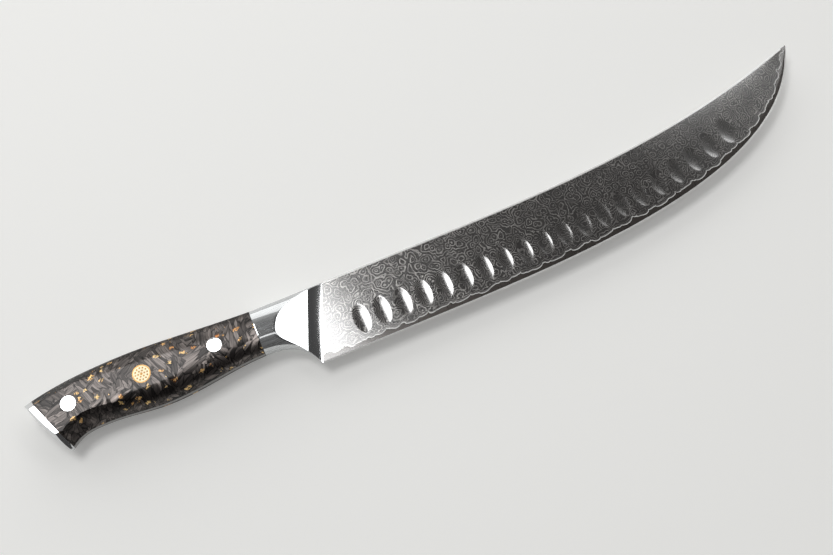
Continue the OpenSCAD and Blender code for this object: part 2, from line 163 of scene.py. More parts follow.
class HandleSizes(bpy.types.PropertyGroup):
    """Scales, tang and butt cap."""

    scale_l: length("Scales", "Length of the scales along the line of the pins", 94.6)
    slant: angle("Butt slant", "Slant of the joint between scales and butt cap", 22.8)
    swell: length("Back swell", "Control height that swells the back behind the bolster", 11)
    hump: length("Back hump", "Control height that lifts the back's hump", 17.4)
    back_end: length("Back end", "Height of the back at the butt", 8.4)
    belly_at: length("Belly place", "From the joint to the fullest part of the belly", 44)
    belly_y: length("Belly", "Depth of the belly", 13.8)
    waist_back: length("Waist place", "Distance of the waist in front of the cap's joint", 22.6)
    waist_y: length("Waist", "Depth of the waist", 11.8)
    beak_back: length("Beak place", "Distance of the beak in front of the cap's joint", 6.1)
    beak_y: length("Beak", "Depth of the beak", 16.7)
    thick: length("Thickness", "Thickness across the flats of the handle", 18)
    crown: length("Crown", "Swell of the grip's section beyond its flats", 0.35)
    full_at: length("Full thickness", "From the joint to where the grip is fully thick", 46)
    facet_high: length("Upper facet", "Width of the upper facet at the butt", 5.4)
    facet_low: length("Lower facet", "Width of the lower facet at the butt", 6.8)
    facet_from: length("Facet start", "From the joint to where the facets start to show", 44)
    facet_lip: length("Facet lip", "Half the width of the level strip between the facets", 1.6)
    tang_t: length("Tang", "Thickness of the tang", 2.6)
    cap_t: length("Cap", "Thickness of the butt cap at its middle", 4)
    cap_r: length("Cap radius", "Radius of the cap's rounded end", 80)
    cap_dome: length("Cap dome", "Radius of the cap's end across its thickness", 26)
    cap_mid: length("Cap middle", "Height of the fullest point of the cap's end", 2)
    roundness: share("Roundness", "Roundness of the bolster and grip, where 2 is an ellipse", 2.7, 6)
    pin_d: length("Plain pins", "Diameter of the two plain pins", 6.5)
    mosaic_d: length("Mosaic pin", "Diameter of the mosaic pin", 7.8)
    front_pin: length("Front pin", "From the joint to the front pin", 18.2)
    rear_pin: length("Rear pin", "Distance of the rear pin in front of the cap's joint", 11.6)
    pin_fit: length("Glue gap", "Glue gap round each pin", 0.03)


class Finishes(bpy.types.PropertyGroup):
    """Colours of the finishes."""

    etched: colour("Etched steel", "Dark etched layers of the blade", "#201e1c")
    bright: colour("Bright layers", "Layers that resist the etch", "#a8a5a2")
    core: colour("Core steel", "Satin ground core along the edge", "#38332f")
    # Near white: the honed bevel with its highlight painted in. The blade also uses it for the painted
    # highlight on the spine's eased corners and for the pale lip along the cladding's border.
    honed: colour("Honed steel", "The sharpened bevel", "#f2f2f0")
    stainless: colour("Polished stainless", "Bolster, cap and pins", "#d3d5d6")
    tang: colour("Tang steel", "Ground steel of the tang", "#8d8c8a")
    resin: colour("Clear resin over black", "The darkest chips under the resin", "#0b0a0a")
    chip: colour("Carbon chips", "The palest carbon chips", "#837b77")
    gold: colour("Gold leaf", "Pale gold flakes", "#ffd994")
    copper: colour("Copper leaf", "Copper flakes", "#b0642a")
    brass: colour("Brass", "Tube of the mosaic pin", "#a8814a")
    fill: colour("Mosaic fill", "Cream-gold filling of the mosaic pin", "#fbf4e0")
    rod: colour("Bronze", "Dark rods of the mosaic pin", "#80602f")
    floor: colour("Floor", "The plain pale floor", "#e9e9e7")


class Studio(bpy.types.PropertyGroup):
    """Camera and light."""

    azimuth: angle("Azimuth", "Where the camera stands round the knife", -17.1276)
    elevation: angle("Elevation", "How high the camera looks from", 71.2908)
    roll: angle("Roll", "How far the camera leans to the right", 5.8013)
    place: FloatVectorProperty(
        name="Place",
        description="Where the camera is",
        default=(-0.0162865, -0.1810509, 0.5489923),
        subtype="TRANSLATION",
        size=3,
    )
    focal: FloatProperty(name="Focal length", description="In pixels of the picture", default=1340.0)
    wide: IntProperty(name="Picture width", description="In pixels", default=833)
    world_low: colour("Back wall", "The studio's pale back wall", "#dadad8")
    world_high: colour("Ceiling", "The studio's dark ceiling", "#4b4a4a")


class KnifeSettings(bpy.types.PropertyGroup):
    """Everything that can be set."""

    blade: PointerProperty(type=BladeSizes)
    hollows: PointerProperty(type=HollowSizes)
    bolster: PointerProperty(type=BolsterSizes)
    handle: PointerProperty(type=HandleSizes)
    finish: PointerProperty(type=Finishes)
    studio: PointerProperty(type=Studio)


def settings():
    """The scene's knife settings."""
    return bpy.context.scene.knife


# Curves and steps


def bezier(points, t):
    """Cubic curve with four control points, at the values t, each worked out by Bernstein's weights."""
    t = np.asarray(t, float)
    weights = [(1 - t) ** 3, 3 * (1 - t) ** 2 * t, 3 * (1 - t) * t**2, t**3]
    return np.stack(weights, -1) @ np.asarray(points, float)


def ease(a, b, t):
    """A half cosine step from a to b as t goes from 0 to 1, and level outside that."""
    return a + (b - a) * (1 - np.cos(np.pi * np.clip(t, 0, 1))) / 2


def smooth_min(a, b, soft):
    """The lower of a and b, with the corner between them rounded over a height of soft."""
    h = np.clip(0.5 + 0.5 * (b - a) / soft, 0, 1)
    return b + (a - b) * h - soft * h * (1 - h)


def direction(turn):
    """The unit vector at an angle from X."""
    return np.array([math.cos(turn), math.sin(turn)])


# Meshes


def new_mesh(name, points, faces, slots=(), sharp=35, values=None):
    """A mesh object at the origin, smooth but for edges sharper than sharp degrees.

    values gives further numbers for each point, by name, for the piece's material to read.
    """
    mesh = bpy.data.meshes.new(name)
    mesh.from_pydata(np.asarray(points).tolist(), [], [list(f) for f in faces])
    for label, numbers in (values or {}).items():
        layer = mesh.attributes.new(label, "FLOAT", "POINT")
        layer.data.foreach_set("value", np.asarray(numbers, np.float32).ravel())
    mesh.validate()
    piece = bpy.data.objects.new(name, mesh)
    bpy.context.scene.collection.objects.link(piece)
    for material in slots:
        mesh.materials.append(material)
    close(mesh)
    mesh.polygons.foreach_set("use_smooth", np.ones(len(mesh.polygons), bool))
    mesh.set_sharp_from_angle(angle=math.radians(sharp))
    return piece


def close(mesh):
    """Merges doubled points, so that seams and poles are closed, and turns the faces outwards."""
    shape = bmesh.new()
    shape.from_mesh(mesh)
    bmesh.ops.remove_doubles(shape, verts=shape.verts, dist=1e-7)
    bmesh.ops.recalc_face_normals(shape, faces=shape.faces)
    shape.to_mesh(mesh)
    shape.free()


def tube_faces(rings, around):
    """Faces of a closed skin: rings of around points each, joined side by side, with a fan at each end.

    The two points after the rings are the middles of the end fans.
    """
    i, j = np.meshgrid(np.arange(rings - 1), np.arange(around), indexing="ij")
    a = i * around + j
    b = i * around + (j + 1) % around
    sides = np.stack([a, b, b + around, a + around], -1).reshape(-1, 4)
    k = np.arange(around)
    n = (k + 1) % around
    last = (rings - 1) * around
    hub = rings * around
    first_fan = np.stack([n, k, np.full(around, hub)], -1)
    last_fan = np.stack([last + k, last + n, np.full(around, hub + 1)], -1)
    return [*sides.tolist(), *first_fan.tolist(), *last_fan.tolist()]


def skin(name, rings, slots=(), sharp=35, values=None):
    """A closed piece through an array of rings, shaped rings × points round × 3."""
    count, around, _ = rings.shape
    hubs = np.stack([rings[0].mean(0), rings[-1].mean(0)])
    points = np.concatenate([rings.reshape(-1, 3), hubs])
    padded = {label: np.append(numbers.ravel(), [0, 0]) for label, numbers in (values or {}).items()}
    return new_mesh(name, points, tube_faces(count, around), slots, sharp, padded)


def slab(outer, inside, side):
    """Rings over a face and straight back at a height inside, on one side of the middle plane."""
    inner = outer[:, [-1, 0]].copy()
    inner[..., 2] = inside
    return np.concatenate([outer, inner], 1) * [1, 1, side]


def both_sides(left):
    """Rings down the left face and up its mirror image on the right."""
    return np.concatenate([left, left[:, ::-1] * [1, 1, -1]], 1)


# The blade's form

# Shares of the blade's length: where its outlines start to bend, and where cladding and core end
BEND_AT = 0.18
CLAD_END = 0.985
CORE_END = 0.9985
# The most that the bare core takes of the height, and the least that the cladding stands over it
EDGE_SHARE = 0.5
CLAD_LIP = 0.02 * MM
# How softly a hollow meets the face, and the steps over which a slope is read, along and across
HOLLOW_BLEND = 0.03 * MM
ALONG_STEP = 0.004
ACROSS_STEP = 0.02
# From this share of the way down the face wanders, by waves this far ahead of the border's own, and
# it is still near both ends
WANDER_FROM = 0.7
WANDER_TURN = 1.1
STILL_END = 0.02


class Blade:
    """The blade's outline and section, by u from bolster to tip and s from spine to edge."""

    def __init__(self):
        self.b = settings().blade
        b = self.b
        self.tip = np.array([b.reach, b.spine_y + b.tip_rise])
        self.heel = np.array([-b.heel_back, b.spine_y - b.high])
        self.slant = math.atan(b.heel_back / b.high)

    def line(self, u, start, bend, pull, tip_pull, tip_angle):
        """A straight stretch from start to bend, then a cubic curve to the tip."""
        u = np.asarray(u, float)
        control = [bend, bend + [pull, 0], self.tip - tip_pull * direction(tip_angle), self.tip]
        bent = bezier(control, np.clip((u - BEND_AT) / (1 - BEND_AT), 0, 1))
        straight = start + (bend - start) * (u / BEND_AT)[..., None]
        return np.where((u < BEND_AT)[..., None], straight, bent)

    def spine(self, u):
        """The spine's outline."""
        b = self.b
        start = np.array([0, b.spine_y])
        bend = np.array([b.spine_straight, b.spine_y])
        return self.line(u, start, bend, b.spine_pull, b.spine_tip_pull, b.spine_tip_angle)

    def edge(self, u):
        """The cutting edge's outline."""
        b = self.b
        bend = self.heel + [b.edge_straight, 0]
        return self.line(u, self.heel, bend, b.edge_pull, b.edge_tip_pull, b.edge_tip_angle)

    def height(self, u):
        """Distance from spine to edge on the line of station u."""
        return np.maximum(np.linalg.norm(self.edge(u) - self.spine(u), axis=-1), 1e-9)

    def above_edge(self, u, rise):
        """Share of the height, from the spine down, at a rise above the edge that shrinks near the tip."""
        return 1 - np.minimum(rise / self.height(u), EDGE_SHARE * rise / self.b.core_show)

    def waves(self, u, turn=0.0):
        """The border's waves: one sine with a finer and a slower one laid over it."""
        w = 2 * math.pi * self.b.wave_count * u
        fine = 0.5 * np.sin(2.286 * w + 2 * turn) + 0.25 * np.sin(4.1 * w + turn)
        return (np.sin(w + turn) + fine + 0.6 * np.sin(0.37 * w + turn)) / 2.0

    def border(self, u):
        """Share of the height at which the cladding ends."""
        return self.above_edge(u, self.b.core_show + self.b.wave_h * self.waves(u))

    def spine_half(self, u):
        """Half the spine's thickness, a power of u from bolster to tip."""
        b = self.b
        return (b.tip_t + (b.spine_t - b.tip_t) * (1 - u**b.spine_taper)) / 2

    def half(self, u, s):
        """Half the thickness at a share s of the height: a power curve from the spine to the bevel."""
        b = self.b
        fall = np.minimum(1, s / self.above_edge(u, b.bevel_h)) ** b.grind
        return b.edge_t / 2 + (self.spine_half(u) - b.edge_t / 2) * (1 - fall)

    def place(self, u, s):
        """X and Y at station u and share s."""
        return self.spine(u) + (self.edge(u) - self.spine(u)) * s[..., None]

    def station(self, x, y=None):
        """The u whose line passes x on the edge, or through the point x, y, found by halving."""
        low, high = 0.0, 1.0
        for _ in range(30):
            u = np.array((low + high) / 2)
            top, foot = self.spine(u), self.edge(u)
            s = 1.0 if y is None else (top[1] - y) / (top[1] - foot[1])
            if top[0] + (foot[0] - top[0]) * s < x:
                low = float(u)
            else:
                high = float(u)
        return u, s

    def hollows(self, xy, face):
        """The face's height with the hollows ground in, and their depth there.

        Each is the mark of a wheel with a rounded rim: in the hollow's own frame, a along its width and b
        along its length, the floor is R - depth - sqrt((R - r + sqrt(r² - a²))² - b²) above the face.
        """
        h = settings().hollows
        out = face.copy()
        for i in range(h.count):
            x = h.start + i * h.pitch
            on_edge, _ = self.station(x)
            ahead = self.edge(on_edge + ALONG_STEP) - self.edge(on_edge - ALONG_STEP)
            turn = math.atan2(ahead[1], ahead[0]) * h.turn
            middle = self.edge(on_edge) + [0, h.rise]
            u, s = self.station(middle[0], middle[1])
            s = np.array(s)
            step = ACROSS_STEP
            fall = (self.half(u, s - step) - self.half(u, s + step)) / (2 * step * self.height(u))
            mid = self.half(u, s)
            deep = min(h.deep, h.bite * (mid - self.b.core_t / 2))
            wheel = ((h.long / 2) ** 2 + deep**2) / (2 * deep)
            rim = ((h.wide / 2) ** 2 + deep**2) / (2 * deep)
            off = xy - middle
            a = off[..., 0] * math.cos(turn) + off[..., 1] * math.sin(turn)
            b = off[..., 1] * math.cos(turn) - off[..., 0] * math.sin(turn)
            near = (np.abs(a) < h.wide) & (np.abs(b) < h.long)
            arc = wheel - rim + np.sqrt(np.maximum(rim**2 - a**2, 0))
            floor = mid + b * fall + wheel - deep - np.sqrt(np.maximum(arc**2 - b**2, 0))
            out = np.where(near, smooth_min(out, floor, HOLLOW_BLEND), out)
        return out, face - out


def build_cladding(side):
    """One cladding slab: rings out over the eased spine, down the face and back inside."""
    shape = Blade()
    b = shape.b
    stations, rows, corner = 780, 96, 6
    u = np.linspace(0, CLAD_END, stations)[:, None]
    border = shape.border(u)
    turn = np.linspace(0, math.pi / 2, corner)
    s_corner = b.chamfer * (1 - np.cos(turn)) / shape.height(u)
    drop_corner = b.chamfer * (1 - np.sin(turn))
    first = b.chamfer / shape.height(u)
    s_rows = first + (border - first) * np.linspace(0, 1, rows + 1)[1:]
    s = np.concatenate([np.minimum(s_corner, border * 0.3), s_rows], 1)
    grid = u + 0 * s
    xy = shape.place(grid, s)
    ahead = shape.edge(u[:, 0] + 1e-3) - shape.edge(u[:, 0] - 1e-3)
    ahead /= np.linalg.norm(ahead, axis=-1, keepdims=True)
    near_border = ease(0, 1, (s / border - WANDER_FROM) / (1 - WANDER_FROM))
    window = np.minimum(1, np.minimum(u, CLAD_END - u) / STILL_END)
    wander = b.wave_along * shape.waves(u, WANDER_TURN) * window * near_border
    xy = xy + ahead[:, None, :] * wander[..., None]
    face = np.maximum(shape.half(grid, s), b.core_t / 2 + CLAD_LIP)
    face, depth = shape.hollows(xy, face)
    face[:, :corner] -= drop_corner * np.minimum(1, (face[:, :1] - b.core_t / 2) / (2 * b.chamfer))
    outer = np.concatenate([xy, face[..., None]], -1)
    rings = slab(outer, b.core_t / 2, side)
    name = "cladding_left" if side > 0 else "cladding_right"
    # The eased spine's rows are marked for the blade's material, which paints a near-white highlight
    # there.
    on_chamfer = np.zeros_like(s)
    on_chamfer[:, : corner + 1] = 1
    to_border = (border - s) * shape.height(u) / MM
    values = {"hollow_depth": depth / MM, "to_border": to_border, "spine_highlight": on_chamfer}
    around = ((0, 0), (0, 2))
    values = {label: np.pad(numbers, around, "edge") for label, numbers in values.items()}
    return skin(name + "_face", rings, [damascus()], 35, values), name


def build_core():
    """The core layer: level under the cladding, bare down to the bevel, then honed to the edge."""
    shape = Blade()
    b = shape.b
    stations, rows = 500, 26
    u = np.linspace(0, CORE_END, stations)[:, None]
    bevel = shape.above_edge(u, b.bevel_h)
    s = np.concatenate([np.linspace(0, 1, rows) ** 0.6 * bevel, 1 + 0 * bevel], 1)
    grid = u + 0 * s
    xy = shape.place(grid, s)
    half = np.minimum(b.core_t / 2, shape.half(grid, s))
    half[:, -1] = b.apex_t / 2
    left = np.concatenate([xy, half[..., None]], -1)
    # The bevel's faces take the honed material, which paints the edge's highlight in near white over the
    # honed steel.
    piece = skin("blade_core_face", both_sides(left), [core_steel(), honed_highlight_steel()], 8)
    around = 2 * (rows + 1)
    slots = np.zeros(len(piece.data.polygons), np.int32)
    column = np.arange((stations - 1) * around) % around
    honed = np.abs(column - rows) <= 1
    slots[: honed.size] = honed
    piece.data.polygons.foreach_set("material_index", slots)
    return piece


# Bolster and grip

# The angle left out of a half ring at the back and at the belly, and the share that each facet takes
RIDGE = math.radians(6)
FACET_PART = 2 / 7
# How softly the grip meets its flats, the ramp meets the cheek, and both meet the neck
FLAT_BLEND = 0.05 * MM
RAMP_BLEND = 0.03 * MM
NECK_BLEND = 0.12 * MM
# The belt's finish on the neck fades over this depth, and the joint's edge is eased this far and deep
NECK_FADE = 0.5 * MM
JOINT_EASE = 0.35 * MM
JOINT_DEEP = 0.21 * MM
# The front pin's rim is eased this far in and this deep
PIN_EASE = 0.06 * MM
PIN_DEEP = 0.03 * MM


class Grip:
    """The handle's outline and section as functions of the distance d behind the joint."""

    def __init__(self):
        self.h = settings().handle
        self.k = settings().bolster
        h, k = self.h, self.k
        self.rise = h.thick / 2 + h.crown - k.joint_t / 2
        self.joint_x = -k.long
        self.seam_x = self.joint_x - h.scale_l
        self.butt_at = h.scale_l + h.cap_t + h.back_end * math.tan(h.slant)
        gap = (h.scale_l - h.front_pin - h.rear_pin) / 2
        self.pins = [self.joint_x - h.front_pin - i * gap for i in range(3)]
        self.flat = h.thick / 2

    def back(self, d):
        """Height of the back: a cubic curve whose control points are evenly spaced."""
        heights = [self.k.joint_h / 2, self.h.swell, self.h.hump, self.h.back_end]
        return bezier(heights, np.clip(d / self.butt_at, 0, 1))

    def belly(self, d):
        """Height of the belly: a half cosine to the belly, one to the waist, and a cube to the beak."""
        h = self.h
        waist_at = h.scale_l - h.waist_back
        beak_at = h.scale_l - h.beak_back
        down = ease(-self.k.joint_h / 2, -h.belly_y, d / h.belly_at)
        up = ease(-h.belly_y, -h.waist_y, (d - h.belly_at) / (waist_at - h.belly_at))
        drop = np.clip((d - waist_at) / (beak_at - waist_at), 0, 1) ** 3
        beak = -h.waist_y - (h.beak_y - h.waist_y) * drop
        return np.where(d < h.belly_at, down, np.where(d < waist_at, up, beak))

    def half(self, d):
        """Half the thickness: a sine from the joint to the full grip."""
        return self.k.joint_t / 2 + self.rise * np.sin(np.pi / 2 * np.clip(d / self.h.full_at, 0, 1))

    def neck_half(self, x):
        """Half the bolster's thickness, which narrows forward at the grip's slope at their joint."""
        return self.k.joint_t / 2 - self.rise * math.pi / 2 / self.h.full_at * (x - self.joint_x)

    def round_point(self, q, top, low, half, roundness=None):
        """Height and half thickness of a superellipse, q from 0 at the back to 1 at the belly."""
        turn = RIDGE + (math.pi - 2 * RIDGE) * q
        c = np.cos(turn) / math.cos(RIDGE)
        n = 2 / (self.h.roundness if roundness is None else roundness)
        return (top + low) / 2 + (top - low) / 2 * np.sign(c) * np.abs(c) ** n, half * np.sin(turn) ** n

    def facet_point(self, q, top, low, half):
        """Height and half thickness of the butt's section: upper facet, flat and lower facet."""
        h = self.h
        knots = np.array([0, FACET_PART, 1 - FACET_PART, 1])
        part = [np.clip((q - knots[i]) / (knots[i + 1] - knots[i]), 0, 1) for i in range(3)]
        high, foot = top - h.facet_high, low + h.facet_low
        y = top + (high - top) * part[0] + (foot - high) * part[1] + (low - foot) * part[2]
        z = h.facet_lip + (half - h.facet_lip) * (part[0] - part[2])
        return y, z

    def section(self, d, q):
        """Height and half thickness of the grip: round at the bolster, faceted at the butt, flat sided."""
        top, low, half = self.back(d), self.belly(d), self.half(d)
        mix = ease(0, 1, (d - self.h.facet_from) / (self.h.scale_l - self.h.facet_from))
        y0, z0 = self.round_point(q, top, low, half)
        y1, z1 = self.facet_point(q, top, low, half)
        y, z = y0 + (y1 - y0) * mix, z0 + (z1 - z0) * mix
        return y, smooth_min(z, self.flat, FLAT_BLEND)

    def until(self, q, wall):
        """The d at which the section's point q meets a wall x = wall(y, z), found by halving."""
        low = np.full(q.shape, 0.5 * self.h.scale_l)
        high = np.full(q.shape, self.butt_at + 3 * self.h.cap_t)
        for _ in range(40):
            d = (low + high) / 2
            y, z = self.section(d, q)
            past = self.joint_x - d < wall(y, z)
            high = np.where(past, d, high)
            low = np.where(past, low, d)
        return d

    def seam(self, y, z):
        """X of the slanted joint between scales and cap."""
        return self.seam_x - y * math.tan(self.h.slant)

    def cap_end(self, y, z):
        """X of the cap's end: a ring surface of radius cap_r, its tube's radius cap_dome, on the seam."""
        h = self.h
        c, s = math.cos(h.slant), math.sin(h.slant)
        x = np.full(np.shape(y), self.seam_x - h.cap_t)
        for _ in range(25):
            across = -(x - self.seam_x) * s + y * c - h.cap_mid
            reach = h.cap_r - h.cap_dome + np.sqrt(np.maximum(h.cap_dome**2 - z**2, 0))
            along = h.cap_r - h.cap_t - np.sqrt(np.maximum(reach**2 - across**2, 0))
            x = self.seam_x + (along - s * y) / c
        return x


def cheek_and_ramp(shape, grip, x, y):
    """Half the thickness that grinding leaves at x, y: a sloping cheek, and a hollow ramp to the blade.

    In the frame of the blade's slanted start, ahead is the distance in front of it, and up the one along
    it from the spine. The cheek is a plane that meets the neck's side at its rear. The ramp lifts from the
    blade's face by R - sqrt(R² - ahead²), and goes on straight behind its own width.
    """
    b, k = shape.b, grip.k
    c, s = math.cos(shape.slant), math.sin(shape.slant)
    ahead = x * c - (y - b.spine_y) * s
    up = x * s + (y - b.spine_y) * c
    wedge = k.ramp_follow * (b.spine_t - b.edge_t) / 2 / b.high
    cheek_rear = -k.ramp_w - k.cheek_l - b.heel_back / 2
    slope = (grip.neck_half(cheek_rear) - k.cheek_t / 2) / k.cheek_l
    cheek = k.cheek_t / 2 + (-k.ramp_w - ahead) * slope + up * wedge
    drop = (k.cheek_t - b.spine_t) / 2
    radius = (k.ramp_w**2 + drop**2) / (2 * drop)
    within = np.clip(-ahead, 0, k.ramp_w)
    arc = radius - np.sqrt(radius**2 - within**2)
    steep = k.ramp_w / math.sqrt(radius**2 - k.ramp_w**2)
    beyond = np.maximum(0, -ahead - k.ramp_w) * steep
    on_blade = shape.half(np.zeros_like(up), np.clip(-up / shape.height(np.array(0.0)), 0, 1))
    plain = b.spine_t / 2 + up * wedge
    base = plain + (on_blade - plain) * ease(1, 0, within / k.ramp_w)
    return -smooth_min(-cheek, -(base + arc + beyond), RAMP_BLEND)


def build_bolster():
    """The bolster: slanting superellipses from back to notch, ground away to the cheek and the ramp."""
    shape, grip = Blade(), Grip()
    b, k, h = shape.b, grip.k, grip.h
    stations, around = 200, 150
    t = np.linspace(0, 1, stations)[:, None]
    q = np.linspace(0, 1, around)[None, :]
    joint = np.array([grip.joint_x, -k.joint_h / 2])
    turn = joint + [k.notch_turn, -k.notch_drop]
    low = bezier([joint, joint + [k.notch_pull, 0], turn, shape.heel], t[:, 0])[:, None, :]
    top = np.stack([grip.joint_x * (1 - t), k.joint_h / 2 + (b.spine_y - k.joint_h / 2) * t], -1)
    rise, z = grip.round_point(q, 1.0, -1.0, 1.0, h.roundness + (k.front_roundness - h.roundness) * t)
    part = (1 - rise)[..., None] / 2
    xy = top + (low - top) * part
    x, y = xy[..., 0], xy[..., 1]
    z = z * grip.neck_half(x)
    cut = cheek_and_ramp(shape, grip, x, y)
    neck = ease(0, 1, (cut - z) / NECK_FADE)
    z = smooth_min(z, cut, NECK_BLEND)
    behind = np.clip(1 - (x - grip.joint_x) / JOINT_EASE, 0, 1)
    inset = JOINT_DEEP * (1 - np.sqrt(1 - behind**2))
    y = y - inset * rise**3
    z = z - inset * np.abs(z) / (k.joint_t / 2)
    left = np.stack([x, y, z], -1)
    belt = {"belt_polish": np.concatenate([neck, neck[:, ::-1]], 1)}
    return skin("bolster_forging", both_sides(left), [polished_stainless()], 30, belt)


def build_scale(side):
    """One scale: the grip's outer half from the joint to the slanted seam, flat against the tang."""
    grip = Grip()
    h = grip.h
    stations, around = 300, 140
    q = np.linspace(0, 1, around + 1)[None, :]
    end = grip.until(q, grip.seam)
    t = np.linspace(0, 1, stations)[:, None]
    d = t * end
    y, z = grip.section(d, q)
    outer = np.stack([grip.joint_x - d, y, z], -1)
    rings = slab(outer, h.tang_t / 2, side)
    name = "scale_left" if side > 0 else "scale_right"
    piece = skin(name + "_carbon", rings, [forged_carbon()], 40)
    drill(piece, grip)
    return piece, name


def drill(piece, grip):
    """Cuts the three pin holes through a scale."""
    h = grip.h
    for x, wide in zip(grip.pins, (h.pin_d, h.mosaic_d, h.pin_d)):
        bit = round_bar("bit", x, wide / 2 + h.pin_fit, -h.thick, h.thick)
        cut = piece.modifiers.new("hole", "BOOLEAN")
        cut.object = bit
        cut.operation = "DIFFERENCE"
        cut.solver = "EXACT"
        apply_modifiers(piece)
        bpy.data.objects.remove(bit, do_unlink=True)
    piece.data.set_sharp_from_angle(angle=math.radians(40))


def apply_modifiers(piece):
    """Turns the piece's modifiers into its own mesh."""
    ready = piece.evaluated_get(bpy.context.evaluated_depsgraph_get())
    mesh = bpy.data.meshes.new_from_object(ready)
    piece.modifiers.clear()
    old = piece.data
    piece.data = mesh
    bpy.data.meshes.remove(old)


def round_bar(name, x, radius, low, high):
    """A plain round bar along Z at a place on the pins' line."""
    turn = np.linspace(0, 2 * math.pi, 96, endpoint=False)
    ring = np.stack([x + radius * np.cos(turn), radius * np.sin(turn), 0 * turn], -1)
    rings = np.stack([ring + [0, 0, low], ring + [0, 0, high]])
    return skin(name, rings)


def build_front_pin():
    """The front pin: a bar whose two ends follow the crown of the grip, with a hair of an eased rim."""
    grip = Grip()
    h = grip.h
    x0, radius = grip.pins[0], h.pin_d / 2
    around, steps = 96, 16
    turn = np.linspace(0, 2 * math.pi, around, endpoint=False)[None, :]
    r = np.concatenate([radius * np.linspace(0, 1, steps)[1:-1], [radius - PIN_EASE, radius]])[:, None]
    x, y = x0 + r * np.cos(turn), r * np.sin(turn)
    d = grip.joint_x - x
    top, low, half = grip.back(d), grip.belly(d), grip.half(d)
    c = np.abs((y - (top + low) / 2) / ((top - low) / 2))
    z = half * (1 - c**h.roundness) ** (1 / h.roundness)
    z[-1] -= PIN_DEEP
    upper = np.stack([x, y, z], -1)
    lower = upper * [1, 1, -1]
    rings = np.concatenate([lower, upper[::-1]])
    return skin("front_pin_rod", rings, [pin_steel()], 50)


def build_cap():
    """The butt cap: grip sections from the seam to the rounded end, then the end face."""
    grip = Grip()
    around, steps, inner = 120, 14, 18
    q = np.linspace(0, 1, around)[None, :]
    start = grip.until(q, grip.seam)
    stop = grip.until(q, grip.cap_end)
    t = np.linspace(0, 1, steps)[:, None]
    d = start + (stop - start) * t
    y, z = grip.section(d, q)
    wall = np.stack([grip.joint_x - d, y, z], -1)
    z_in = z[-1] * np.linspace(1, 0, inner)[1:, None]
    y_in = y[-1] + 0 * z_in
    face = np.stack([grip.cap_end(y_in, z_in), y_in, z_in], -1)
    left = np.concatenate([wall, face])
    right = left * [1, 1, -1]
    return half_shells("butt_cap_steel", left, right, [polished_stainless()])


def half_shells(name, left, right, slots):
    """Two mirrored grids joined along their shared border, with a flat back face."""
    rows, columns, _ = left.shape
    i, j = np.meshgrid(np.arange(rows - 1), np.arange(columns - 1), indexing="ij")
    a = i * columns + j
    quads = np.stack([a, a + 1, a + columns + 1, a + columns], -1).reshape(-1, 4)
    shift = rows * columns
    seam = np.arange(columns)
    back = np.append(seam, seam[::-1] + shift)
    p = np.append(a[:, 0], a[:, 0] + columns - 1)
    ends = np.stack([p, p + columns, p + columns + shift, p + shift], -1)
    mirrored = (quads + shift)[:, ::-1]
    faces = [*quads.tolist(), *mirrored.tolist(), back.tolist(), *ends.tolist()]
    points = np.concatenate([left.reshape(-1, 3), right.reshape(-1, 3)])
    return new_mesh(name, points, faces, slots, 30)


# Materials


def add(tree, kind, inputs=(), **values):
    """Adds a node, sets its values, then sets or links its inputs, by name or in the order it shows them.

    A node given as an input stands for the first output it shows, and three numbers for a colour.
    """
    item = tree.nodes.new("ShaderNode" + kind)
    for key, value in values.items():
        setattr(item, key, value)
    if isinstance(inputs, dict):
        pairs = [(item.inputs[key], value) for key, value in inputs.items()]
    else:
        pairs = zip([socket for socket in item.inputs if socket.enabled], inputs)
    for socket, value in pairs:
        if isinstance(value, bpy.types.Node):
            value = next(output for output in value.outputs if output.enabled)
        if isinstance(value, bpy.types.NodeSocket):
            tree.links.new(value, socket)
        elif socket.type == "RGBA":
            socket.default_value = (*value, 1)
        else:
            socket.default_value = value
    return item


def emptied(thing):
    """Clears a new material's or world's tree and gives the function that adds its nodes."""
    thing.use_nodes = True
    thing.node_tree.nodes.clear()
    return functools.partial(add, thing.node_tree)


def material_named(name):
    """Turns a function into one that gives the material of this name, made the first time it is asked for.

    The function takes what adds nodes and the place in millimetres, and works out the shader's inputs.
    """

    def wrap(look):
        def give():
            if name not in bpy.data.materials:
                node = emptied(bpy.data.materials.new(name))
                place = node("TexCoord").outputs["Object"]
                mm = node("Mapping", {"Vector": place, "Scale": (1 / MM,) * 3})
                node("OutputMaterial", {"Surface": node("BsdfPrincipled", look(node, mm))})
            return bpy.data.materials[name]

        return give

    return wrap


def pushed(node, place, colour, reach):
    """A place, or a normal, pushed by half of reach at most along each axis, as a colour says."""
    centred = node("VectorMath", [colour, (0.5, 0.5, 0.5)], operation="SUBTRACT")
    push = node("VectorMath", [centred, reach], operation="SCALE")
    return node("VectorMath", [place, push], operation="ADD")


